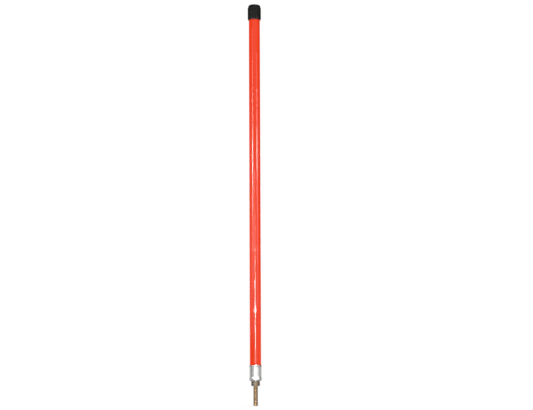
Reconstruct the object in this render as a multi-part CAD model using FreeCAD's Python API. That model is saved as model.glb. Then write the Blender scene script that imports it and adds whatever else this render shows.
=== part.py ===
import FreeCAD, Part
import math
import os

# Alignment stick: a bright marker tube with a push-on cap above and a threaded mounting stud below.
# Millimetres. +Z runs up the stick. The origin is on the axis, in the plane of the nut's lower face,
# where the free length of the stud begins.

# Driving dimensions
THREAD_R = 7.94 / 2             # crest radius of the 5/16-18 thread, drawn as a plain cylinder
FREE_STUD = 32.57               # stud showing below the nut
NUT_FLATS = 12.7                # across the flats
NUT_H = 6.75
WASHER_R = 14.88 / 2
WASHER_H = 1.98
TUBE_R = 19.05 / 2
TUBE_WALL = 1.5875
FERRULE_H = 25.4
CAP_R = 22.8 / 2                # over the grip ribs
CAP_H = 26.6
OVERALL = 685.8                 # stud tip to the crown of the cap

# Fits
RUNNING_GAP = 0.05              # radial, nut on stud and cap on tube
WASHER_GAP = 0.08               # radial, washer on stud

# Stud
STUD_TIP_CHAMFER = 0.9
STUD_IN_PLUG = 21.0
RELIEF_H = 0.7                  # thread relief behind the free length, so a tapped bracket closes up
RELIEF_DEPTH = 0.25             # to the nut's face

# Nut and washer
NUT_CORNER_DROP = 0.75          # height of the corner chamfer at the six points
NUT_MOUTH_R = THREAD_R + 0.4    # countersink at each end of the thread
WASHER_SLIT = 1.0
WASHER_SLIT_LEAN = 20.0         # degrees from the axis

# Ferrule
FERRULE_WALL = 0.5
FERRULE_FLOOR = 1.2
FLOOR_HOLE_R = THREAD_R + 0.25
SWAGE_DROP = 0.28               # how far the swaged waist is pressed in from the foot
LIP_PROUD = 0.1                 # how far the lip at the top stands out from the waist
FOOT_H = 5.6                    # unswaged length at the bottom
LIP_H = 1.9                     # unswaged length at the top
SWAGE_RAMP = 1.4
FOOT_ROUND = 0.6

# Anchor plug, hidden inside the bottom of the tube
PLUG_H = 33.0
PLUG_HOLE_H = 23.0
PLUG_DRILL_CONE = 2.3
PLUG_LEAD_IN = 1.0
PLUG_GROOVE_H = 1.6
PLUG_GROOVE_DEPTH = 0.4
PLUG_GROOVES = 3
PLUG_GROOVE_PITCH = 5.0
PLUG_GROOVE_START = 8.0

# Tube
TUBE_EDGE = 0.3

# Cap
CAP_RIBS = 16
CAP_RIB_PROUD = 0.35
CAP_RIB_FOOT = 1.6              # plain collar below the ribs
CAP_RIB_FOOT_RAMP = 0.5
CAP_RIB_TOP = 5.8               # ribs reach full height this far below the crown, and fade out above
CAP_FLUTE_HALF = 1.35           # half the width of the hollow between two ribs
CAP_SHOULDER_R = 10.35          # body radius where the crown's corner begins
CAP_SHOULDER_DROP = 2.2
CAP_CROWN_R = 8.6               # where the corner meets the shallow dome
CAP_CROWN_DROP = 0.4
CAP_CORNER_BULGE = 0.83         # how far the corner's middle stands towards the square corner
CAP_CEILING = 2.6               # thickness of the closed end
CAP_RIM_ROUND = 0.4
TUBE_SHY = 0.7                  # tube stops this far short of the cap's ceiling

# Levels
WASHER_Z = NUT_H
SEAT_Z = WASHER_Z + WASHER_H
TUBE_Z = SEAT_Z + FERRULE_FLOOR
TIP_Z = -FREE_STUD
CROWN_Z = TIP_Z + OVERALL
RIM_Z = CROWN_Z - CAP_H
TUBE_TOP_Z = CROWN_Z - CAP_CEILING - TUBE_SHY


def point(r, z):
    return FreeCAD.Vector(r, 0, z)


def turned(outline):
    """A solid turned about the axis. The outline lists (r, z), or (r, z, r_mid, z_mid) for an arc."""
    edges = []
    for start, end in zip(outline, outline[1:] + outline[:1]):
        p = point(start[0], start[1])
        q = point(end[0], end[1])
        if len(end) == 4:
            edges.append(Part.Arc(p, point(end[2], end[3]), q).toShape())
        else:
            edges.append(Part.makeLine(p, q))
    face = Part.Face(Part.Wire(edges))
    return face.revolve(FreeCAD.Vector(0, 0, 0), FreeCAD.Vector(0, 0, 1), 360)


def corner_mid(r0, z0, r1, z1, centre_r, centre_z):
    """The middle of the round corner from (r0, z0) to (r1, z1) about a centre."""
    radius = math.hypot(r0 - centre_r, z0 - centre_z)
    dr = (r0 + r1) / 2 - centre_r
    dz = (z0 + z1) / 2 - centre_z
    reach = radius / math.hypot(dr, dz)
    return centre_r + dr * reach, centre_z + dz * reach


def marker_tube():
    bore = TUBE_R - TUBE_WALL
    return turned([
        (bore, TUBE_Z),
        (TUBE_R - TUBE_EDGE, TUBE_Z),
        (TUBE_R, TUBE_Z + TUBE_EDGE),
        (TUBE_R, TUBE_TOP_Z - TUBE_EDGE),
        (TUBE_R - TUBE_EDGE, TUBE_TOP_Z),
        (bore + TUBE_EDGE, TUBE_TOP_Z),
        (bore, TUBE_TOP_Z - TUBE_EDGE),
    ])


def anchor_plug():
    r = TUBE_R - TUBE_WALL
    top = TUBE_Z + PLUG_H
    hole_top = TUBE_Z + PLUG_HOLE_H
    outline = [(THREAD_R, TUBE_Z), (r, TUBE_Z)]
    for i in range(PLUG_GROOVES):
        low = TUBE_Z + PLUG_GROOVE_START + i * PLUG_GROOVE_PITCH
        outline += [
            (r, low),
            (r - PLUG_GROOVE_DEPTH, low + PLUG_GROOVE_DEPTH),
            (r - PLUG_GROOVE_DEPTH, low + PLUG_GROOVE_H - PLUG_GROOVE_DEPTH),
            (r, low + PLUG_GROOVE_H),
        ]
    outline += [
        (r, top - PLUG_LEAD_IN),
        (r - PLUG_LEAD_IN, top),
        (0, top),
        (0, hole_top + PLUG_DRILL_CONE),
        (THREAD_R, hole_top),
    ]
    return turned(outline)


def ferrule():
    waist = TUBE_R + FERRULE_WALL
    end = waist + SWAGE_DROP
    bore_end = TUBE_R + SWAGE_DROP
    lip = waist + LIP_PROUD
    lip_bore = TUBE_R + LIP_PROUD
    top = SEAT_Z + FERRULE_H
    foot_top = SEAT_Z + FOOT_H
    lip_low = top - LIP_H
    round_mid = corner_mid(end - FOOT_ROUND, SEAT_Z, end, SEAT_Z + FOOT_ROUND,
                           end - FOOT_ROUND, SEAT_Z + FOOT_ROUND)
    return turned([
        (FLOOR_HOLE_R, SEAT_Z),
        (end - FOOT_ROUND, SEAT_Z),
        (end, SEAT_Z + FOOT_ROUND) + round_mid,
        (end, foot_top - SWAGE_RAMP),
        (waist, foot_top),
        (waist, lip_low - SWAGE_RAMP),
        (lip, lip_low),
        (lip, top),
        (lip_bore, top),
        (lip_bore, lip_low),
        (TUBE_R, lip_low - SWAGE_RAMP),
        (TUBE_R, foot_top),
        (bore_end, foot_top - SWAGE_RAMP),
        (bore_end, TUBE_Z),
        (FLOOR_HOLE_R, TUBE_Z),
    ])


def stud():
    top = TUBE_Z + STUD_IN_PLUG
    neck = THREAD_R - RELIEF_DEPTH
    tip_r = THREAD_R - STUD_TIP_CHAMFER
    return turned([
        (0, TIP_Z),
        (tip_r, TIP_Z),
        (THREAD_R, TIP_Z + STUD_TIP_CHAMFER),
        (THREAD_R, 0),
        (neck, RELIEF_DEPTH / 2),
        (neck, RELIEF_H),
        (THREAD_R, RELIEF_H + RELIEF_DEPTH),
        (THREAD_R, top - STUD_TIP_CHAMFER),
        (tip_r, top),
        (0, top),
    ])


def lock_washer():
    bore = THREAD_R + WASHER_GAP
    ring = Part.makeCylinder(WASHER_R, WASHER_H, point(0, WASHER_Z))
    ring = ring.cut(Part.makeCylinder(bore, WASHER_H, point(0, WASHER_Z)))
    slit = Part.makeBox(2 * WASHER_R, WASHER_SLIT, 4 * WASHER_H,
                        FreeCAD.Vector(0, -WASHER_SLIT / 2, WASHER_Z + WASHER_H / 2 - 2 * WASHER_H))
    slit.rotate(FreeCAD.Vector(0, 0, WASHER_Z + WASHER_H / 2), FreeCAD.Vector(1, 0, 0), WASHER_SLIT_LEAN)
    return ring.cut(slit)


def hex_nut():
    corner = NUT_FLATS / 2 / math.cos(math.pi / 6)
    # one flat faces the front, so the corners stand at the two sides
    corners = [FreeCAD.Vector(corner * math.cos(math.radians(a)), corner * math.sin(math.radians(a)), 0)
               for a in range(0, 361, 60)]
    prism = Part.Face(Part.makePolygon(corners)).extrude(FreeCAD.Vector(0, 0, NUT_H))
    face_r = NUT_FLATS / 2 - 0.25
    low_corner = corner + 0.01
    barrel = turned([
        (0, 0),
        (face_r, 0),
        (low_corner, NUT_CORNER_DROP),
        (low_corner, NUT_H - NUT_CORNER_DROP),
        (face_r, NUT_H),
        (0, NUT_H),
    ])
    bore = THREAD_R + RUNNING_GAP
    mouth = NUT_MOUTH_R - bore
    hole = turned([
        (0, 0),
        (NUT_MOUTH_R, 0),
        (bore, mouth),
        (bore, NUT_H - mouth),
        (NUT_MOUTH_R, NUT_H),
        (0, NUT_H),
    ])
    return prism.common(barrel).cut(hole)


def end_cap():
    """A closed shell with a shallow dome. The hollows cut round its wall leave the grip ribs standing."""
    collar_r = CAP_R - CAP_RIB_PROUD - 0.05
    bore = TUBE_R + RUNNING_GAP
    rib_low = RIM_Z + CAP_RIB_FOOT
    shoulder_z = CROWN_Z - CAP_SHOULDER_DROP
    crown_edge_z = CROWN_Z - CAP_CROWN_DROP
    ceiling_z = CROWN_Z - CAP_CEILING
    corner = (CAP_CROWN_R + (CAP_SHOULDER_R - CAP_CROWN_R) * CAP_CORNER_BULGE,
              shoulder_z + (crown_edge_z - shoulder_z) * CAP_CORNER_BULGE)
    dome_r = (CAP_CROWN_R ** 2 + CAP_CROWN_DROP ** 2) / (2 * CAP_CROWN_DROP)
    dome_half = math.asin(CAP_CROWN_R / dome_r) / 2
    dome = (dome_r * math.sin(dome_half), CROWN_Z - dome_r * (1 - math.cos(dome_half)))
    rim = corner_mid(collar_r - CAP_RIM_ROUND, RIM_Z, collar_r, RIM_Z + CAP_RIM_ROUND,
                     collar_r - CAP_RIM_ROUND, RIM_Z + CAP_RIM_ROUND)
    shell = turned([
        (bore, RIM_Z),
        (collar_r - CAP_RIM_ROUND, RIM_Z),
        (collar_r, RIM_Z + CAP_RIM_ROUND) + rim,
        (collar_r, rib_low),
        (CAP_R, rib_low + CAP_RIB_FOOT_RAMP),
        (CAP_R, CROWN_Z - CAP_RIB_TOP),
        (CAP_SHOULDER_R, shoulder_z),
        (CAP_CROWN_R, crown_edge_z) + corner,
        (0, CROWN_Z) + dome,
        (0, ceiling_z),
        (bore, ceiling_z),
    ])
    flute_r = (CAP_FLUTE_HALF ** 2 + CAP_RIB_PROUD ** 2) / (2 * CAP_RIB_PROUD)
    away = CAP_R - CAP_RIB_PROUD + flute_r
    for i in range(CAP_RIBS):
        angle = 2 * math.pi * (i + 0.5) / CAP_RIBS
        centre = FreeCAD.Vector(away * math.cos(angle), away * math.sin(angle), RIM_Z)
        shell = shell.cut(Part.makeCylinder(flute_r, CAP_H, centre))
    return shell


PARTS = {
    "marker_tube": marker_tube,
    "anchor_plug": anchor_plug,
    "ferrule": ferrule,
    "stud": stud,
    "lock_washer": lock_washer,
    "hex_nut": hex_nut,
    "end_cap": end_cap,
}

os.makedirs("parts", exist_ok=True)
for name, build in PARTS.items():
    shape = build()
    solid = shape.Solids[0]
    solid.exportStep(f"parts/{name}.step")
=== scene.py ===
import math

import bmesh
import bpy
from mathutils import Euler, Matrix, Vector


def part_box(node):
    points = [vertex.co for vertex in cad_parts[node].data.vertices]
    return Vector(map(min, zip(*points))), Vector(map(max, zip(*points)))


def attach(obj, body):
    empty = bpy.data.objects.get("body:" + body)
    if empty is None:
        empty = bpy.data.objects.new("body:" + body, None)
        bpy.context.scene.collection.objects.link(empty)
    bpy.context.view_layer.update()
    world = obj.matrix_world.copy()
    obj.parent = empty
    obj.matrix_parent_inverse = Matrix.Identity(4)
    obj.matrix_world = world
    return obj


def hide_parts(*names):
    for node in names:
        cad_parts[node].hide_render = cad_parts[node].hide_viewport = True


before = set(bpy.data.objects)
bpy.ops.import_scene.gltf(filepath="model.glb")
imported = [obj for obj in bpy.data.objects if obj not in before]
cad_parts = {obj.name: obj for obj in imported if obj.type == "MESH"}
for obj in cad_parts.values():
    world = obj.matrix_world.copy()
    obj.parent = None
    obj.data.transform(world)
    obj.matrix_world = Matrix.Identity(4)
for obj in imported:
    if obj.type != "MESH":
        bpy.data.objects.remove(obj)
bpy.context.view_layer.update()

MM = 0.001

# ---------------------------------------------------------------- sizes, in metres, from the frame
tube_low, tube_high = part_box("marker_tube")
cap_low, cap_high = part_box("end_cap")
ferrule_low, ferrule_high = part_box("ferrule")
stud_low, stud_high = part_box("stud")
nut_low, nut_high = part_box("hex_nut")
washer_low, washer_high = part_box("lock_washer")

TUBE_R = tube_high.x
TUBE_WALL = 1.5875 * MM
# the CAD cap is made of flat facets and is a hair narrower on this side, so the visual cap fits inside it
CAP_R = -cap_low.x
FERRULE_WALL = 0.5 * MM
WAIST_R = TUBE_R + FERRULE_WALL
STUD_R = stud_high.x
PITCH = 25.4 / 18 * MM


# ---------------------------------------------------------------- mesh helpers
def lathe(outline, columns, radius=None):
    """Vertices and faces of a closed outline of (r, z) turned about the axis.
    radius(r, z, angle) can change the radius of a point as the angle changes."""
    verts, rings, faces = [], [], []
    for r, z in outline:
        if r == 0:
            rings.append([len(verts)] * columns)
            verts.append((0, 0, z))
            continue
        rings.append(list(range(len(verts), len(verts) + columns)))
        for i in range(columns):
            angle = 2 * math.pi * i / columns
            here = radius(r, z, angle) if radius else r
            verts.append((here * math.cos(angle), here * math.sin(angle), z))
    for a, b in zip(rings, rings[1:] + rings[:1]):
        for i in range(columns):
            j = (i + 1) % columns
            corners = list(dict.fromkeys((a[i], a[j], b[j], b[i])))
            if len(corners) > 2:
                faces.append(corners)
    return verts, faces


def arc(centre_r, centre_z, size, start, stop, steps):
    """Points on a quarter or other arc, with the angles in degrees from +r towards +z."""
    points = []
    for i in range(steps + 1):
        a = math.radians(start + (stop - start) * i / steps)
        points.append((centre_r + size * math.cos(a), centre_z + size * math.sin(a)))
    return points


def ease(r0, z0, r1, z1, steps):
    """Points on a smooth S between two radii, as metal flows at the edge of a swage."""
    points = []
    for i in range(steps + 1):
        t = i / steps
        points.append((r0 + (r1 - r0) * (3 - 2 * t) * t * t, z0 + (z1 - z0) * t))
    return points


def straight(r0, z0, r1, z1, steps):
    """Evenly spaced points on a straight line."""
    return [(r0 + (r1 - r0) * i / steps, z0 + (z1 - z0) * i / steps) for i in range(steps + 1)]


def clip(verts, faces, low, high):
    """Cuts a surface off square at both heights. Returns the bmesh and the two cut loops."""
    bm = bmesh.new()
    made = [bm.verts.new(v) for v in verts]
    for f in faces:
        bm.faces.new([made[i] for i in f])
    loops = []
    for z, way in ((low, -1), (high, 1)):
        cut = bmesh.ops.bisect_plane(
            bm, geom=bm.verts[:] + bm.edges[:] + bm.faces[:], dist=1e-7,
            plane_co=(0, 0, z), plane_no=(0, 0, way), clear_outer=True)
        loops.append([g for g in cut["geom_cut"] if isinstance(g, bmesh.types.BMEdge)])
    return bm, loops


def piece(name, source, material, body, node, crease=35):
    """A finished object from a bmesh or from (verts, faces). It rides on its body and stands for a node
    of the frame. Edges sharper than the crease, in degrees, stay sharp."""
    mesh = bpy.data.meshes.new(name)
    if isinstance(source, tuple):
        mesh.from_pydata(source[0], [], source[1])
    else:
        source.to_mesh(mesh)
        source.free()
    bm = bmesh.new()
    bm.from_mesh(mesh)
    bmesh.ops.remove_doubles(bm, verts=bm.verts, dist=2e-7)
    bmesh.ops.recalc_face_normals(bm, faces=bm.faces)
    bm.to_mesh(mesh)
    bm.free()
    mesh.shade_smooth()
    mesh.set_sharp_from_angle(angle=math.radians(crease))
    mesh.materials.append(material)
    obj = bpy.data.objects.new(name, mesh)
    bpy.context.scene.collection.objects.link(obj)
    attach(obj, body)
    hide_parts(node)


# ---------------------------------------------------------------- material helpers
class Nodes:
    """A short way to wire the nodes of a material or of the world."""

    def __init__(self, owner):
        owner.use_nodes = True
        self.owner = owner
        self.tree = owner.node_tree

    def add(self, kind):
        return self.tree.nodes.new(kind)

    def link(self, a, b):
        self.tree.links.new(a, b)

    def place(self, scale):
        """Object coordinates stretched by scale (x, y, z)."""
        where = self.add("ShaderNodeTexCoord")
        mapping = self.add("ShaderNodeMapping")
        mapping.inputs["Scale"].default_value = scale
        self.link(where.outputs["Object"], mapping.inputs["Vector"])
        return mapping.outputs["Vector"]

    def noise(self, scale, detail=3.0, roughness=0.5, size=1.0):
        """Noise of about size marks a metre, stretched by scale (x, y, z)."""
        node = self.add("ShaderNodeTexNoise")
        node.inputs["Scale"].default_value = size
        node.inputs["Detail"].default_value = detail
        node.inputs["Roughness"].default_value = roughness
        self.link(self.place(scale), node.inputs["Vector"])
        return node.outputs["Fac"]

    def radius(self):
        """Distance from the stick's axis."""
        node = self.add("ShaderNodeVectorMath")
        node.operation = "LENGTH"
        self.link(self.place((1, 1, 0)), node.inputs[0])
        return node.outputs["Value"]

    def along(self, axis):
        """The object coordinate along X, Y or Z."""
        where = self.add("ShaderNodeTexCoord")
        split = self.add("ShaderNodeSeparateXYZ")
        self.link(where.outputs["Object"], split.inputs[0])
        return split.outputs[axis]

    def mix(self, factor, a, b):
        """Goes from a to b, which are colours or sockets, as the factor goes from 0 to 1."""
        node = self.add("ShaderNodeMix")
        node.data_type = "RGBA"
        self.link(factor, node.inputs["Factor"])
        for key, value in (("A", a), ("B", b)):
            if isinstance(value, tuple):
                node.inputs[key].default_value = (*value, 1)
            else:
                self.link(value, node.inputs[key])
        return node.outputs["Result"]

    def ramp(self, value, stops):
        """Maps a value through (position, grey or colour) stops."""
        node = self.add("ShaderNodeValToRGB")
        band = node.color_ramp
        while len(band.elements) < len(stops):
            band.elements.new(0.5)
        for element, (at, shade) in zip(band.elements, stops):
            element.position = at
            tint = shade if isinstance(shade, tuple) else (shade, shade, shade)
            element.color = (*tint, 1)
        self.link(value, node.inputs["Fac"])
        return node.outputs["Color"]

    def range(self, value, low, high, to_low, to_high):
        """Maps a value from one span to another, and holds it at the ends."""
        node = self.add("ShaderNodeMapRange")
        for key, number in (("From Min", low), ("From Max", high), ("To Min", to_low), ("To Max", to_high)):
            node.inputs[key].default_value = number
        self.link(value, node.inputs["Value"])
        return node.outputs["Result"]

    def math(self, what, a, b=None):
        node = self.add("ShaderNodeMath")
        node.operation = what
        for slot, value in ((0, a), (1, b)):
            if isinstance(value, (int, float)):
                node.inputs[slot].default_value = value
            elif value is not None:
                self.link(value, node.inputs[slot])
        return node.outputs["Value"]

    def bump(self, height, strength, distance, under=None):
        """A bumped normal, on top of the one under it."""
        node = self.add("ShaderNodeBump")
        node.inputs["Strength"].default_value = strength
        node.inputs["Distance"].default_value = distance
        self.link(height, node.inputs["Height"])
        if under:
            self.link(under, node.inputs["Normal"])
        return node.outputs["Normal"]

    def use(self, **sources):
        """Feeds the material's shader, and returns the material."""
        shader = self.tree.nodes["Principled BSDF"]
        for key, source in sources.items():
            socket = shader.inputs[key.replace("_", " ")]
            if isinstance(source, (int, float)):
                socket.default_value = source
            else:
                self.link(source, socket)
        return self.owner


def new_material(name):
    return Nodes(bpy.data.materials.new(name))


def tube_material():
    """Glossy fluorescent plastic: extrusion lines, a slight mottle and hairline scuffs. Painted shade, a
    darker band made uneven by the mottle, lies where it enters the cap and the ferrule."""
    m = new_material("tube_plastic")
    mottle = m.noise((150, 150, 5), detail=4)
    lines = m.noise((1400, 1400, 3), detail=2)
    scuffs = m.noise((800, 800, 12), detail=6, roughness=0.6)
    drift = m.noise((22, 22, 9), detail=2)
    clean = m.ramp(mottle, [(0.3, (0.805, 0.035, 0.0020)), (0.7, (0.835, 0.042, 0.0050))])
    pale = m.range(scuffs, 0.60, 0.74, 0.0, 0.35)
    scuffed = m.mix(pale, clean, (0.85, 0.070, 0.028))
    # painted shade: darker towards the ferrule and the cap, where the tube goes into them
    low = m.range(m.along("Z"), ferrule_high.z + 2.5 * MM, ferrule_high.z, 0.0, 0.5)
    high = m.range(m.along("Z"), cap_low.z - 2.5 * MM, cap_low.z, 0.0, 0.5)
    painted_joint_shade = m.math("MULTIPLY", m.math("ADD", low, high), mottle)
    colour = m.mix(painted_joint_shade, scuffed, (0.42, 0.020, 0.006))
    rough = m.range(scuffs, 0.45, 0.8, 0.02, 0.07)
    wave = m.bump(drift, 0.05, 0.0003)
    fine = m.bump(lines, 0.04, 0.00001, wave)
    return m.use(Base_Color=colour, Roughness=rough, Normal=fine, IOR=1.41)


def cap_material():
    """Soft black vinyl, satin, with a fine dipped grain. The rib crests are rubbed greyer and smoother,
    the rim only smoother, and dust lies in the hollows."""
    m = new_material("cap_vinyl")
    grain = m.noise((1, 1, 1), detail=6, roughness=0.6, size=2600)
    cloud = m.noise((1, 1, 1), detail=4, size=170)
    worn = m.noise((1, 1, 0.3), detail=5, roughness=0.7, size=420)
    black = m.ramp(cloud, [(0.3, (0.0020, 0.0018, 0.0015)), (0.75, (0.0042, 0.0039, 0.0033))])
    crest = m.range(m.radius(), CAP_R - 0.22 * MM, CAP_R, 0.0, 0.8)
    rubbed = m.math("MULTIPLY", crest, m.range(worn, 0.42, 0.62, 0.0, 1.0))
    colour = m.mix(rubbed, black, (0.016, 0.0155, 0.014))
    dust = m.range(m.radius(), CAP_R - 0.16 * MM, CAP_R - 0.36 * MM, 0.0, 0.25)
    dusty = m.mix(m.math("MULTIPLY", dust, worn), colour, (0.030, 0.026, 0.022))
    rim = m.range(m.along("Z"), cap_low.z + 2.1 * MM, cap_low.z + 1.5 * MM, 0.0, 1.0)
    polish = m.math("ADD", m.math("MULTIPLY", rubbed, 0.08), m.math("MULTIPLY", rim, 0.14))
    rough = m.math("SUBTRACT", m.range(cloud, 0.3, 0.75, 0.26, 0.38), polish)
    return m.use(Base_Color=dusty, Roughness=rough, Normal=m.bump(grain, 0.12, 0.00003), IOR=1.22)


def plug_material():
    """Bare turned aluminium, with tool rings round the axis and faint dents."""
    m = new_material("plug_aluminium")
    rings = m.noise((25, 25, 9000), detail=3)
    cloud = m.noise((1, 1, 1), detail=4, size=260)
    dents = m.noise((1, 1, 1), detail=2, size=700)
    colour = m.ramp(cloud, [(0.3, (0.7254, 0.7254, 0.7254)), (0.7, (0.78, 0.78, 0.78))])
    rough = m.range(rings, 0.3, 0.7, 0.25, 0.4)
    dented = m.bump(dents, 0.06, 0.00008, m.bump(rings, 0.12, 0.00003))
    return m.use(Base_Color=colour, Metallic=1.0, Roughness=rough, Normal=dented)


def ferrule_material():
    """Drawn aluminium, brushed lengthwise. The swaged steps carry fine roller rings. Painted shade lies as
    dark grey bands on the lip and round the bottom of the foot, which are also a little smoother."""
    m = new_material("ferrule_aluminium")
    streaks = m.noise((2600, 2600, 22), detail=3)
    rings = m.noise((12, 12, 5200), detail=2)
    cloud = m.noise((1, 1, 1), detail=4, size=260)
    nicks = m.noise((900, 900, 300), detail=5, roughness=0.7)
    metal = m.ramp(cloud, [(0.3, (0.82, 0.82, 0.81)), (0.7, (0.88, 0.88, 0.87))])
    # painted shade: dark grey over the lip and round the bottom of the foot, a little uneven
    lip = m.range(m.along("Z"), ferrule_high.z - 3.6 * MM, ferrule_high.z - 2.4 * MM, 0.0, 0.7)
    foot = m.range(m.along("Z"), ferrule_low.z + 1.7 * MM, ferrule_low.z + 0.8 * MM, 0.0, 1.0)
    painted_edge_shade = m.math("MULTIPLY", m.math("ADD", lip, foot), m.range(nicks, 0.3, 0.6, 0.75, 1.0))
    colour = m.mix(painted_edge_shade, metal, (0.24, 0.235, 0.23))
    swage = m.range(m.radius(), WAIST_R + 0.06 * MM, WAIST_R + 0.24 * MM, 0.0, 1.0)
    rough = m.math("SUBTRACT", m.range(streaks, 0.3, 0.7, 0.11, 0.19), m.math("MULTIPLY", painted_edge_shade, 0.06))
    drawn = m.bump(streaks, 0.12, 0.00003)
    rolled = m.bump(m.math("MULTIPLY", rings, swage), 0.2, 0.00003, drawn)
    nicked = m.bump(m.range(nicks, 0.66, 0.8, 0.0, -1.0), 0.3, 0.00004, rolled)
    return m.use(Base_Color=colour, Metallic=1.0, Roughness=rough, Normal=nicked)


def zinc_material(name, gold, rose, brown, film_size, worn, wave, rough, seal):
    """Yellow-passivated zinc under a thin clear seal: a gold film of uneven tone. Painted reflection turns it
    towards rose on the -X side and brown on the +X side. It is rubbed back to bare zinc at the crests and
    corners, between the two radii of worn. The wave is the depth of its slow unevenness, rough its least
    and greatest roughness, and seal the strength of the clear coat."""
    m = new_material(name)
    film = m.noise((1, 1, 1), detail=3, size=film_size)
    grain = m.noise((1, 1, 1), detail=5, size=3200)
    swell = m.noise((1, 1, 1), detail=1, size=160)
    # the noise is the film's own uneven colour; the shift along X is painted reflection, rose on one side and
    # brown on the other
    film_with_painted_side_tint = m.math("SUBTRACT", film, m.math("MULTIPLY", m.along("X"), 45))
    tint = m.ramp(film_with_painted_side_tint, [(0.34, brown), (0.46, gold), (0.56, gold), (0.68, rose)])
    outer = m.range(m.radius(), *worn, 0.0, 1.0)
    bare = m.math("MULTIPLY", outer, m.range(grain, 0.38, 0.6, 0.2, 0.9))
    colour = m.mix(bare, tint, (0.42, 0.39, 0.35))
    pitted = m.bump(grain, 0.1, 0.00002, m.bump(swell, 0.5, wave))
    return m.use(Base_Color=colour, Metallic=1.0, Roughness=m.range(grain, 0.3, 0.7, *rough), Normal=pitted,
                 Coat_Weight=seal, Coat_Roughness=0.14, Coat_IOR=1.8)


TUBE = tube_material()
CAP = cap_material()
FERRULE = ferrule_material()
PLUG = plug_material()
STUD = zinc_material(
    "zinc_stud", gold=(0.225, 0.127, 0.020), rose=(0.235, 0.130, 0.036), brown=(0.215, 0.116, 0.012),
    film_size=240, worn=(STUD_R - 0.04 * MM, STUD_R + 0.06 * MM), wave=0.00002, rough=(0.12, 0.22), seal=1.0)
NUT = zinc_material(
    "zinc_nut", gold=(0.085, 0.060, 0.026), rose=(0.100, 0.070, 0.040), brown=(0.110, 0.050, 0.008),
    film_size=330, worn=(nut_high.x - 0.4 * MM, nut_high.x), wave=0.00003, rough=(0.05, 0.10), seal=0.4)
WASHER = zinc_material(
    "zinc_washer", gold=(0.12, 0.090, 0.065), rose=(0.13, 0.09, 0.075), brown=(0.11, 0.085, 0.045),
    film_size=300, worn=(washer_high.x - 0.12 * MM, washer_high.x + 0.1 * MM), wave=0.00004,
    rough=(0.14, 0.26), seal=0.3)


# ---------------------------------------------------------------- the tube
TUBE_COLUMNS = 128


def make_tube():
    """A plain tube, its ends rounded off except inside the foot, which the plug closes."""
    bore = TUBE_R - TUBE_WALL
    edge = 0.3 * MM
    low, high = tube_low.z, tube_high.z
    outline = arc(bore + edge, high - edge, edge, 180, 90, 4)
    outline += arc(TUBE_R - edge, high - edge, edge, 90, 0, 4)
    outline += straight(TUBE_R, high - edge, TUBE_R, low + edge, 60)[1:]
    outline += arc(TUBE_R - edge, low + edge, edge, 0, -90, 3)[1:]
    outline += [(bore, low)]
    outline += straight(bore, low, bore, high - edge, 12)[1:-1]
    piece("tube_body", lathe(outline, TUBE_COLUMNS), TUBE, "body", "marker_tube")


# ---------------------------------------------------------------- the cap
RIBS = 16
COLUMNS_PER_RIB = 26
RIB_PROUD = 0.35 * MM
RIB_FOOT = 1.6 * MM
RIB_FOOT_RAMP = 0.5 * MM
RIB_TOP = 5.8 * MM
FLUTE_HALF = 1.35 * MM
FLUTE_BLEND = 0.16 * MM
# only points this near the outside are shaped by the ribs
WALL_DEPTH = 1.2 * MM
SHOULDER_R = 10.35 * MM
SHOULDER_DROP = 2.2 * MM
CROWN_R = 8.6 * MM
CROWN_DROP = 0.4 * MM
CEILING = 2.6 * MM
CEILING_ROUND = 0.4 * MM
RIM_ROUND = 0.4 * MM
COLLAR_DROP = 0.05 * MM
COLLAR_DRAFT = 0.2 * MM
COLLAR_HEIGHT = 1.5 * MM
MOUTH_BEVEL = 0.15 * MM
# how far up the bore an extra ring of points lies
BORE_RING = 12 * MM
FIT_GAP = 0.05 * MM


def soft_min(a, b, blend):
    """The smaller of two, with their meeting edge rounded off."""
    h = max(blend - abs(a - b), 0) / blend
    return min(a, b) - h * h * blend / 4


def ribbed(r, z, angle):
    """The hollows between the ribs are cut by round bars standing outside the wall."""
    if r < CAP_R - WALL_DEPTH or z > cap_high.z - SHOULDER_DROP or z < cap_low.z + RIB_FOOT:
        return r
    cutter = (FLUTE_HALF ** 2 + RIB_PROUD ** 2) / (2 * RIB_PROUD)
    away = CAP_R - RIB_PROUD + cutter
    turn = 2 * math.pi / RIBS
    off = (angle % turn) - turn / 2
    side = away * math.sin(off)
    if abs(side) >= cutter:
        return r
    hollow = away * math.cos(off) - math.sqrt(cutter ** 2 - side ** 2)
    return soft_min(r, hollow, FLUTE_BLEND)


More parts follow.
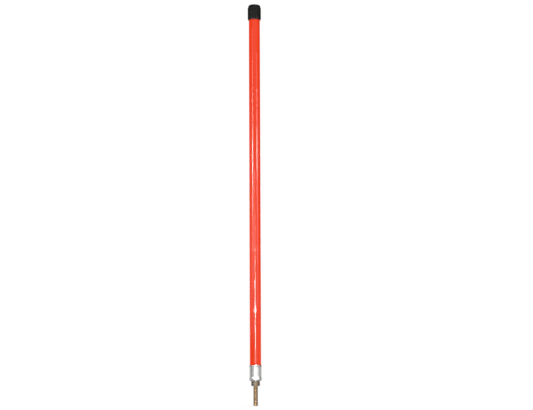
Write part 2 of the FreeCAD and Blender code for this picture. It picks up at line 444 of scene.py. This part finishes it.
def make_cap():
    """The push-on cap: a smooth collar, the ribbed grip, a rounded shoulder and a low dome."""
    collar = CAP_R - RIB_PROUD - COLLAR_DROP
    bore = TUBE_R + FIT_GAP
    low, high = cap_low.z, cap_high.z
    rib_foot = low + RIB_FOOT
    shoulder, crown = high - SHOULDER_DROP, high - CROWN_DROP
    dome = (CROWN_R ** 2 + CROWN_DROP ** 2) / (2 * CROWN_DROP)
    outline = [(bore + MOUTH_BEVEL, low)]
    outline += arc(collar - COLLAR_DRAFT - RIM_ROUND, low + RIM_ROUND, RIM_ROUND, -90, -8, 5)
    outline += [(collar, low + COLLAR_HEIGHT)]
    outline += ease(collar, rib_foot, CAP_R, rib_foot + RIB_FOOT_RAMP, 6)
    outline += straight(CAP_R, rib_foot + RIB_FOOT_RAMP, CAP_R, high - RIB_TOP, 24)[1:]
    outline += ease(CAP_R, high - RIB_TOP, SHOULDER_R, shoulder, 14)[1:]
    # the corner is a quarter of an ellipse from the shoulder up to the edge of the dome
    for i in range(1, 11):
        a = math.pi / 2 * i / 10
        outline.append((CROWN_R + (SHOULDER_R - CROWN_R) * math.cos(a),
                        shoulder + (crown - shoulder) * math.sin(a)))
    # the dome is part of a sphere, up to its middle
    for i in range(1, 8):
        r = CROWN_R * (1 - i / 8)
        outline.append((r, high - dome + math.sqrt(dome ** 2 - r ** 2)))
    ceiling = high - CEILING
    outline += [(0, high), (0, ceiling), (bore * 0.5, ceiling)]
    outline += arc(bore - CEILING_ROUND, ceiling - CEILING_ROUND, CEILING_ROUND, 90, 0, 4)
    outline += [(bore, low + BORE_RING), (bore, low + MOUTH_BEVEL)]
    shell = lathe(outline, RIBS * COLUMNS_PER_RIB, ribbed)
    piece("cap_shell", shell, CAP, "cap_body", "end_cap")


# ---------------------------------------------------------------- the ferrule
FERRULE_COLUMNS = 192
SWAGE = 0.28 * MM
LIP_PROUD = 0.1 * MM
LIP_LENGTH = 1.9 * MM
LIP_ROUND = 0.08 * MM
FOOT_LENGTH = 5.6 * MM
RAMP = 1.4 * MM
FOOT_ROUND = 0.6 * MM
FERRULE_FLOOR = 1.2 * MM
HOLE_GAP = 0.25 * MM
HOLE_BEVEL = 0.1 * MM


def make_ferrule():
    """A cup whose foot and lip both stand out from its waist, outside and inside alike."""
    end = WAIST_R + SWAGE
    bore_end = TUBE_R + SWAGE
    lip = WAIST_R + LIP_PROUD
    mouth = TUBE_R + LIP_PROUD
    hole = STUD_R + HOLE_GAP
    low, high = ferrule_low.z, ferrule_high.z
    foot_top = low + FOOT_LENGTH
    foot_ramp = foot_top - RAMP
    lip_low = high - LIP_LENGTH
    lip_ramp = lip_low - RAMP
    edge = high - LIP_ROUND
    floor = low + FERRULE_FLOOR
    outline = [(hole, low + HOLE_BEVEL), (hole + HOLE_BEVEL, low)]
    outline += straight(hole + HOLE_BEVEL, low, end - FOOT_ROUND, low, 4)[1:-1]
    outline += arc(end - FOOT_ROUND, low + FOOT_ROUND, FOOT_ROUND, -90, 0, 10)
    outline += [(end, foot_ramp)]
    outline += ease(end, foot_ramp, WAIST_R, foot_top, 8)[1:]
    outline += straight(WAIST_R, foot_top, WAIST_R, lip_ramp, 12)[1:]
    outline += ease(WAIST_R, lip_ramp, lip, lip_low, 8)[1:]
    outline += [(lip, edge)]
    outline += arc(lip - LIP_ROUND, edge, LIP_ROUND, 0, 90, 4)[1:]
    outline += arc(mouth + LIP_ROUND, edge, LIP_ROUND, 90, 180, 4)
    outline += [(mouth, lip_low), (TUBE_R, lip_ramp), (TUBE_R, foot_top)]
    outline += [(bore_end, foot_ramp), (bore_end, floor), (hole, floor)]
    cup = lathe(outline, FERRULE_COLUMNS)
    piece("ferrule_cup", cup, FERRULE, "body", "ferrule")


# ---------------------------------------------------------------- stud, nut and washer
THREAD_COLUMNS = 56
COLUMNS_PER_FLAT = 24
WASHER_COLUMNS = 120
TIP_CHAMFER = 0.9 * MM
ROOT_R = STUD_R - 0.55 * MM
CREST_R = STUD_R - 0.005 * MM
# a thread's profile over one pitch, as (share of the pitch, radius). The crests are wide and slightly domed
STUD_PROFILE = [
    (0.0, CREST_R - 0.030 * MM), (0.05, CREST_R - 0.012 * MM), (0.12, CREST_R), (0.26, CREST_R),
    (0.33, CREST_R - 0.012 * MM), (0.38, CREST_R - 0.030 * MM), (0.42, CREST_R - 0.065 * MM),
    (0.66, ROOT_R + 0.03 * MM), (0.69, ROOT_R), (0.73, ROOT_R), (0.76, ROOT_R + 0.03 * MM),
    (0.96, CREST_R - 0.065 * MM),
]
NUT_ROOT_R = STUD_R + 0.05 * MM
NUT_CREST_R = ROOT_R + 0.12 * MM
NUT_PROFILE = [(-0.03, NUT_ROOT_R), (0.45, NUT_ROOT_R), (0.69, NUT_CREST_R), (0.73, NUT_CREST_R)]


def thread(profile, low, high):
    """The surface of a right-hand thread that runs past both heights. Its turns are counted from the
    origin, so the nut's and the stud's fit together."""
    verts, faces = [], []
    count, columns = len(profile), THREAD_COLUMNS
    start = (math.floor(low / PITCH) - 1) * PITCH
    steps = math.ceil((high - low + 3 * PITCH) / PITCH + 3) * columns
    for i in range(steps + 1):
        angle = 2 * math.pi * i / columns
        for share, r in profile:
            z = PITCH * (i / columns + share - 2) + start
            verts.append((r * math.cos(angle), r * math.sin(angle), z))
    for i in range(steps):
        for k in range(count - 1):
            a = i * count + k
            faces.append((a, a + count, a + count + 1, a + 1))
        # the last point of each turn's profile joins the first point of the next turn's
        a = i * count + count - 1
        b = (i + columns) * count
        if i + columns + 1 <= steps:
            faces.append((a, a + count, b + count, b))
    return verts, faces


def make_stud():
    """The threaded stud, cut off square and bevelled at both ends."""
    low, high = stud_low.z, stud_high.z
    tip = STUD_R - TIP_CHAMFER
    verts, faces = thread(STUD_PROFILE, low, high)
    shaped = []
    for x, y, z in verts:
        r = math.hypot(x, y)
        most = tip + max(min(z - low, high - z), 0)
        keep = min(r, most) / r
        shaped.append((x * keep, y * keep, z))
    bm, loops = clip(shaped, faces, low, high)
    for loop in loops:
        bmesh.ops.edgeloop_fill(bm, edges=loop)
    piece("stud_thread", bm, STUD, "body", "stud", crease=28)


def make_nut():
    """A hex nut, chamfered at both faces, with its own thread inside."""
    low, high = nut_low.z, nut_high.z
    flats = nut_high.y
    corner = nut_high.x
    face_r = flats - 0.25 * MM
    corner_drop = 0.75 * MM
    mouth = STUD_R + 0.4 * MM
    corner_round = 0.25 * MM
    corner_shy = 0.02 * MM
    crown = 0.10 * MM

    def hexagon(angle):
        """How far the side of the nut stands from the axis, with crowned flats and blunted corners."""
        off = (angle + math.pi / 6) % (math.pi / 3) - math.pi / 6
        # a flat faces each odd twelfth of the turn, so measure from the nearest flat's middle
        off = math.pi / 6 - abs(off)
        fall = crown * (math.tan(off) / math.tan(math.pi / 6)) ** 2
        return soft_min(flats / math.cos(off) - fall, corner - corner_shy, corner_round)

    columns = 6 * COLUMNS_PER_FLAT
    verts, rings = [], []
    slope = corner_drop / (corner - face_r)
    for i in range(columns):
        angle = 2 * math.pi * i / columns
        reach = hexagon(angle)
        drop = (reach - face_r) * slope
        # pairs of points close together keep the chamfer's two edges crisp. The top half mirrors the bottom.
        ring = [(mouth, low), (face_r - 0.12 * MM, low), (face_r, low + 0.02 * MM)]
        ring += [(reach - 0.05 * MM, low + drop - 0.03 * MM), (reach, low + drop + 0.04 * MM)]
        ring += [(reach, low + (high - low) * share) for share in (0.3, 0.5, 0.7)]
        ring += [(r, low + high - z) for r, z in reversed(ring[:5])]
        rings.append(range(len(verts), len(verts) + len(ring)))
        verts += [(r * math.cos(angle), r * math.sin(angle), z) for r, z in ring]
    faces = []
    for a, b in zip(rings, rings[1:] + rings[:1]):
        for k in range(len(a) - 1):
            faces.append((a[k], b[k], b[k + 1], a[k + 1]))
    inner, inner_faces = thread(NUT_PROFILE, low, high)
    opened = []
    for x, y, z in inner:
        r = math.hypot(x, y)
        least = mouth - max(min(z - low, high - z), 0)
        grow = max(r, least) / r
        opened.append((x * grow, y * grow, z))
    bm, _ = clip(opened, inner_faces, low, high)
    made = [bm.verts.new(v) for v in verts]
    for f in faces:
        bm.faces.new([made[i] for i in f])
    piece("nut_hex", bm, NUT, "nut_body", "hex_nut", crease=24)


def make_washer():
    """A split ring. Its slit leans, and its ends stay a hair out of line even when it is tight."""
    low, high = washer_low.z, washer_high.z
    inner = STUD_R + 0.08 * MM
    outer = washer_high.x
    slit = 1.0 * MM
    lean = math.tan(math.radians(20))
    rise = 0.1 * MM
    edge = 0.22 * MM
    middle = (low + high) / 2
    thick = high - low - rise
    bottom, top = middle - thick / 2, middle + thick / 2
    section = arc(inner + edge, bottom + edge, edge, 180, 270, 3)
    section += arc(outer - edge, bottom + edge, edge, 270, 360, 3)
    section += arc(outer - edge, top - edge, edge, 0, 90, 3)
    section += arc(inner + edge, top - edge, edge, 90, 180, 3)
    verts, faces = [], []
    for j in range(WASHER_COLUMNS + 1):
        share = j / WASHER_COLUMNS
        for r, z in section:
            shift = -lean * (z - middle)
            start = math.asin((slit / 2 + shift) / r)
            stop = 2 * math.pi + math.asin((shift - slit / 2) / r)
            angle = start + (stop - start) * share
            verts.append((r * math.cos(angle), r * math.sin(angle), z + rise * (share - 0.5)))
    count = len(section)
    for j in range(WASHER_COLUMNS):
        for k in range(count):
            a, b = j * count + k, j * count + (k + 1) % count
            faces.append((a, b, b + count, a + count))
    faces.append(tuple(range(count)))
    faces.append(tuple(WASHER_COLUMNS * count + k for k in range(count)))
    piece("washer_split", (verts, faces), WASHER, "washer_body", "lock_washer")


make_tube()
make_cap()
make_ferrule()
make_stud()
make_nut()
make_washer()
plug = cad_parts["anchor_plug"]
plug.data.materials.clear()
plug.data.materials.append(PLUG)


# ---------------------------------------------------------------- floor, light and camera
FLOOR_R = 1.0
FLOOR_GAP = 0.02 * MM


def make_floor():
    """A round sheet of white paper, as pale as the studio beyond it."""
    place = Matrix.Translation((0, 0, stud_low.z - FLOOR_GAP))
    bm = bmesh.new()
    bmesh.ops.create_circle(bm, cap_ends=True, segments=96, radius=FLOOR_R, matrix=place)
    mesh = bpy.data.meshes.new("floor")
    bm.to_mesh(mesh)
    bm.free()
    m = new_material("floor_paper")
    tone = m.ramp(m.noise((1, 1, 1), size=3), [(0.3, (0.93, 0.93, 0.93)), (0.7, (0.95, 0.95, 0.95))])
    mesh.materials.append(m.use(Base_Color=tone, Roughness=0.9, Specular_IOR_Level=0.1))
    floor = bpy.data.objects.new("floor", mesh)
    bpy.context.scene.collection.objects.link(floor)


# how bright the studio is: bands of height, lowest first, as (elevation where the band starts to blend in,
# elevation where it has taken over, stops of (degrees round from the front, brightness)). The lowest band
# has nothing to blend with.
STUDIO = (
    (-90, -89, [
        (-180, 0.4), (-145, 0.3), (-132, 0.06), (-62, 0.06), (-38, 0.5), (-26, 1.1), (-20, 2.8), (-12, 3.4),
        (12, 3.4), (20, 2.8), (26, 1.1), (38, 0.8), (62, 0.1), (132, 0.06), (145, 0.3), (180, 0.4)]),
    (-0.92, -0.84, [
        (-180, 0.7), (-135, 0.65), (-118, 0.9), (-104, 0.22), (-62, 0.13), (-38, 0.62), (-16, 1.1), (-8, 0.8),
        (-1.5, 0.5), (0.5, 1.2), (4, 1.2), (6, 0.6), (10, 0.8), (16, 1.1), (42, 1.25), (62, 0.58), (84, 0.36),
        (108, 0.5), (118, 0.85), (134, 0.6), (180, 0.7)]),
    (1, 3, [
        (-180, 0.5), (-130, 0.4), (-105, 0.7), (-75, 1.2), (-45, 0.8), (-33, 0.1), (-18, 0.1), (-8, 0.6),
        (8, 0.6), (18, 0.2), (33, 0.4), (75, 1.35), (98, 0.0), (125, 0.0), (145, 0.4), (180, 0.5)]),
    (5, 8, [
        (-180, 0.5), (-130, 0.4), (-105, 0.5), (-75, 1.0), (-40, 0.9), (40, 0.9), (75, 1.35), (98, 0.0),
        (125, 0.0), (145, 0.4), (180, 0.5)]),
    (11, 14, [
        (-180, 0.4), (-130, 0.2), (-105, 0.1), (-75, 0.3), (-20, 1.1), (20, 1.1), (75, 0.6), (98, 0.0),
        (125, 0.0), (145, 0.3), (180, 0.4)]),
)
SOFT_LIGHT = (1.1, 1.1, 1.1)
BACKDROP = (1.0, 1.0, 1.0)


def make_world():
    """A white studio. Soft light falls evenly from all round, and is what matt colours show. Mirror-like
    surfaces see the bands of STUDIO instead: a bright front, grey wings at the two sides and a paler
    back."""
    world = bpy.data.worlds.new("studio")
    bpy.context.scene.world = world
    world.cycles.sampling_method = "NONE"
    m = Nodes(world)
    where = m.add("ShaderNodeTexCoord")
    split = m.add("ShaderNodeSeparateXYZ")
    m.link(where.outputs["Generated"], split.inputs[0])
    x, y, z = split.outputs
    around = m.math("DEGREES", m.math("ARCTAN2", x, m.math("MULTIPLY", y, -1.0)))
    above = m.math("DEGREES", m.math("ARCSINE", z))
    turn = m.range(around, -180, 180, 0.0, 1.0)
    rise = m.range(above, -90, 90, 0.0, 1.0)
    seen = None
    for base, top, stops in STUDIO:
        band = m.ramp(turn, [((at + 180) / 360, shade) for at, shade in stops])
        if seen:
            blend = m.ramp(rise, [((base + 90) / 180, 0.0), ((top + 90) / 180, 1.0)])
            band = m.mix(blend, seen, band)
        seen = band
    path = m.add("ShaderNodeLightPath")
    seen = m.mix(path.outputs["Is Glossy Ray"], SOFT_LIGHT, seen)
    seen = m.mix(path.outputs["Is Camera Ray"], seen, BACKDROP)
    m.link(seen, m.tree.nodes["Background"].inputs["Color"])


def make_lamp(name, degrees, distance, low, high, width, glow):
    """An upright softbox that faces the stick's axis from this many degrees round from the front. It
    shows in glossy surfaces only."""
    tall = high - low
    lamp = bpy.data.lights.new(name, "AREA")
    lamp.shape = "RECTANGLE"
    lamp.size, lamp.size_y = width, tall
    lamp.energy = glow * math.pi * width * tall
    obj = bpy.data.objects.new(name, lamp)
    a = math.radians(degrees)
    obj.location = (distance * math.sin(a), -distance * math.cos(a), (low + high) / 2)
    obj.rotation_euler = (math.pi / 2, 0, a)
    bpy.context.scene.collection.objects.link(obj)
    obj.visible_diffuse = False
    obj.visible_camera = False


# tall soft lights, each a stack of panels: name, degrees round from the front, distance, width, and the
# panels as (height where it begins, how strongly it glows). The last height is where the stack ends. The
# spot and its two wings give the small bright dot low on the tube.
LIGHTS = (
    ("left", -45.0, 1.50, 0.46, (
        (0.11, 1.5), (0.25, 4), (0.37, 8), (0.475, 14), (0.565, 25), (0.61, 33), (0.70, 18), (0.745, 10),
        (0.85, 5), (0.95, 2), (1.05, 0))),
    ("right", 47.5, 1.50, 0.50, (
        (0.21, 2), (0.34, 4.5), (0.53, 7), (0.59, 13), (0.62, 23), (0.70, 14), (0.74, 6), (0.86, 2),
        (0.97, 0))),
    ("front", -1.6, 1.90, 0.17, (
        (0.045, 20), (0.085, 56), (0.10, 108), (0.13, 112), (0.20, 84), (0.29, 84), (0.365, 46), (0.42, 20),
        (0.54, 12), (0.68, 0))),
    ("front_spot", 0.0, 1.89, 0.80, ((0.211, 100), (0.2195, 0))),
    ("front_wing_left", -24.0, 1.89, 0.80, ((0.2120, 24), (0.2195, 0))),
    ("front_wing_right", 22.0, 1.89, 0.60, ((0.2130, 27), (0.2205, 0))),
    ("front_low", 3.6, 1.89, 0.07, ((-0.031, 2.4), (-0.014, 0))),
    ("back", 180.0, 1.90, 0.16, ((0.10, 6), (0.90, 0))),
)


def make_lights():
    """One lamp for each panel of each stack."""
    for name, degrees, distance, width, panels in LIGHTS:
        for k, ((low, glow), (high, _)) in enumerate(zip(panels, panels[1:])):
            make_lamp(f"{name}_{k}", degrees, distance, low, high, width, glow)


CAMERA_DISTANCE = 1.9892
CAMERA_HEIGHT = 0.0303
CAMERA_PITCH, CAMERA_ROLL, CAMERA_YAW = 7.821, -0.274, 0.564
LENS_LENGTH, SENSOR_WIDTH = 79.94, 36


def make_camera():
    """A camera low in front of the stick, tilted up a little. Its angles are in degrees, its lens in mm."""
    data = bpy.data.cameras.new("camera")
    data.sensor_width = SENSOR_WIDTH
    data.lens = LENS_LENGTH
    data.clip_start, data.clip_end = 0.01, 60
    cam = bpy.data.objects.new("camera", data)
    bpy.context.scene.collection.objects.link(cam)
    pitch, roll, yaw = (math.radians(a) for a in (CAMERA_PITCH, CAMERA_ROLL, CAMERA_YAW))
    cam.location = (0, -CAMERA_DISTANCE, CAMERA_HEIGHT)
    turn = Euler((math.pi / 2 + pitch, 0, -yaw)).to_matrix()
    cam.rotation_euler = (turn @ Matrix.Rotation(roll, 3, "Z")).to_euler()
    bpy.context.scene.camera = cam


make_floor()
make_world()
make_lights()
make_camera()
bpy.context.scene.view_settings.view_transform = "Standard"
